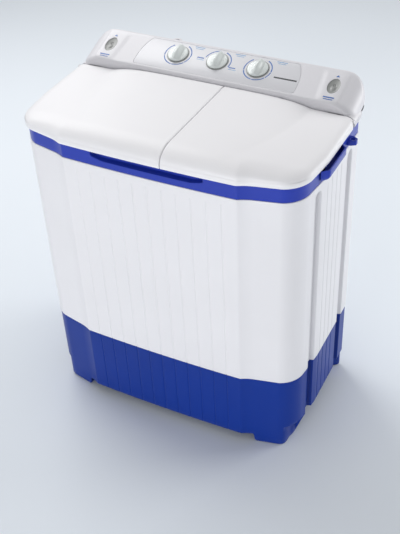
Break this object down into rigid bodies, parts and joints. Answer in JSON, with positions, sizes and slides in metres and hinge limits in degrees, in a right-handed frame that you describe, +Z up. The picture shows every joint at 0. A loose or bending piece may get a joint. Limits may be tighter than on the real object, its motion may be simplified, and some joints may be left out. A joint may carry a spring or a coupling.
{
  "type": "twin tub washer",
  "caption": "Twin tub washer with a wash tub and a spin dryer under two hinged lids, a sloping control console and a plinth.",
  "frame": {"origin": "centre of the footprint, on the floor", "axes": "+X to the right seen from the front, +Y to the back, +Z up"},
  "size_m": [0.7115, 0.443, 0.8393],
  "materials": {
    "cabinet_white": "satin moulded plastic",
    "lid_white": "gloss",
    "console_white": "gloss",
    "panel_white": "satin with blue printed scales",
    "band_blue": "gloss",
    "base_blue": "gloss",
    "knob_white": "gloss",
    "bezel_grey": "satin",
    "tub_white": "satin",
    "tub_blue": "satin",
    "grey_plastic": "satin",
    "black_plastic": "satin",
    "rubber": "matte",
    "hose_grey": "satin",
    "steel": "brushed",
    "zinc": "zinc plated",
    "painted_metal": "satin",
    "aluminium": "cast"
  },
  "bodies": {
    "casing": {"cabinet": "cabinet_white", "base_plinth": "base_blue", "rubber_feet": "rubber", "top_frame": "band_blue", "handle_left": "band_blue", "handle_right": "band_blue", "hose_hook": "band_blue", "rear_cover": "cabinet_white", "panel_screws": "zinc", "console_housing": "console_white", "console_back": "console_white", "control_panel": "panel_white", "knob_bezels": "bezel_grey", "water_inlet": "grey_plastic", "lid_hinge_pins": "steel", "wash_tub": "tub_white", "wash_bearing_housing": "aluminium", "shaft_bushes": "zinc", "shaft_seal": "rubber", "drive_belt": "rubber", "wash_motor": "painted_metal", "wash_motor_bracket": "zinc", "motor_bolts": "zinc", "drain_valve_body": "black_plastic", "drain_valve_spring": "steel", "lint_filter": "tub_blue", "spin_outer_tub": "tub_white", "spin_drain_pipe": "grey_plastic", "bellows_seal": "rubber", "spin_motor": "painted_metal", "suspension_springs": "steel", "drain_hose": "hose_grey", "capacitor": "grey_plastic", "power_cord": "black_plastic", "wash_timer_body": "black_plastic", "mode_body": "black_plastic", "spin_timer_body": "black_plastic"},
    "wash_lid": {"wash_lid": "lid_white"},
    "spin_lid": {"spin_lid": "lid_white"},
    "spin_inner_lid": {"spin_inner_lid": "tub_blue"},
    "wash_timer": {"wash_timer_knob": "knob_white", "wash_timer_shaft": "steel"},
    "mode_switch": {"mode_knob": "knob_white", "mode_shaft": "steel"},
    "spin_timer": {"spin_timer_knob": "knob_white", "spin_timer_shaft": "steel"},
    "wash_drive": {"pulsator": "tub_blue", "pulsator_screw": "steel", "pulsator_shaft": "steel", "wash_pulley": "aluminium"},
    "wash_rotor": {"wash_motor_rotor": "steel", "motor_pulley": "aluminium"},
    "spin_drive": {"spin_basket": "steel", "balance_ring": "tub_white", "spin_press_plate": "tub_blue", "spin_shaft": "steel", "brake_drum": "aluminium", "spin_motor_rotor": "steel"},
    "brake_arm": {"brake_arm": "zinc"},
    "drain_plunger": {"drain_valve_plunger": "rubber"}
  },
  "joints": [
    {"name": "wash_lid_hinge", "type": "hinge", "parent": "casing", "child": "wash_lid", "pos_m": [-0.0975, 0.114, 0.783], "axis": [-1, 0, 0], "range_deg": [0, 92]},
    {"name": "spin_lid_hinge", "type": "hinge", "parent": "casing", "child": "spin_lid", "pos_m": [0.125, 0.114, 0.783], "axis": [-1, 0, 0], "range_deg": [0, 92]},
    {"name": "inner_lid_hinge", "type": "hinge", "parent": "casing", "child": "spin_inner_lid", "pos_m": [0.185, 0.109, 0.755], "axis": [-1, 0, 0], "range_deg": [0, 60]},
    {"name": "wash_timer_turn", "type": "hinge", "parent": "casing", "child": "wash_timer", "pos_m": [-0.1035, 0.17444, 0.81803], "axis": [0, 0.342, -0.9397], "range_deg": [0, 315]},
    {"name": "mode_turn", "type": "hinge", "parent": "casing", "child": "mode_switch", "pos_m": [-0.0035, 0.17444, 0.81803], "axis": [0, 0.342, -0.9397], "range_deg": [-90, 90]},
    {"name": "spin_timer_turn", "type": "hinge", "parent": "casing", "child": "spin_timer", "pos_m": [0.0965, 0.17444, 0.81803], "axis": [0, 0.342, -0.9397], "range_deg": [0, 300]},
    {"name": "pulsator_spin", "type": "hinge", "parent": "casing", "child": "wash_drive", "pos_m": [-0.137, -0.019, 0.3], "axis": [0, 0, 1], "continuous": true},
    {"name": "wash_motor_spin", "type": "hinge", "parent": "casing", "child": "wash_rotor", "pos_m": [-0.262, 0.075, 0.2], "axis": [0, 0, 1], "continuous": true},
    {"name": "basket_spin", "type": "hinge", "parent": "casing", "child": "spin_drive", "pos_m": [0.195, -0.015, 0.3], "axis": [0, 0, 1], "continuous": true},
    {"name": "brake_swing", "type": "hinge", "parent": "casing", "child": "brake_arm", "pos_m": [0.252, 0.02, 0.27], "axis": [0, 0, -1], "range_deg": [0, 3]},
    {"name": "drain_lift", "type": "slide", "parent": "casing", "child": "drain_plunger", "axis": [0, 0, 1], "range_m": [0, 0.012], "deforming": ["drain_valve_spring"]}
  ],
  "couplings": [
    {"joint": "inner_lid_hinge", "follows": "spin_lid_hinge", "ratio": 0.65},
    {"joint": "brake_swing", "follows": "spin_lid_hinge", "ratio": 0.0326},
    {"joint": "wash_motor_spin", "follows": "pulsator_spin", "ratio": 4.3175}
  ]
}
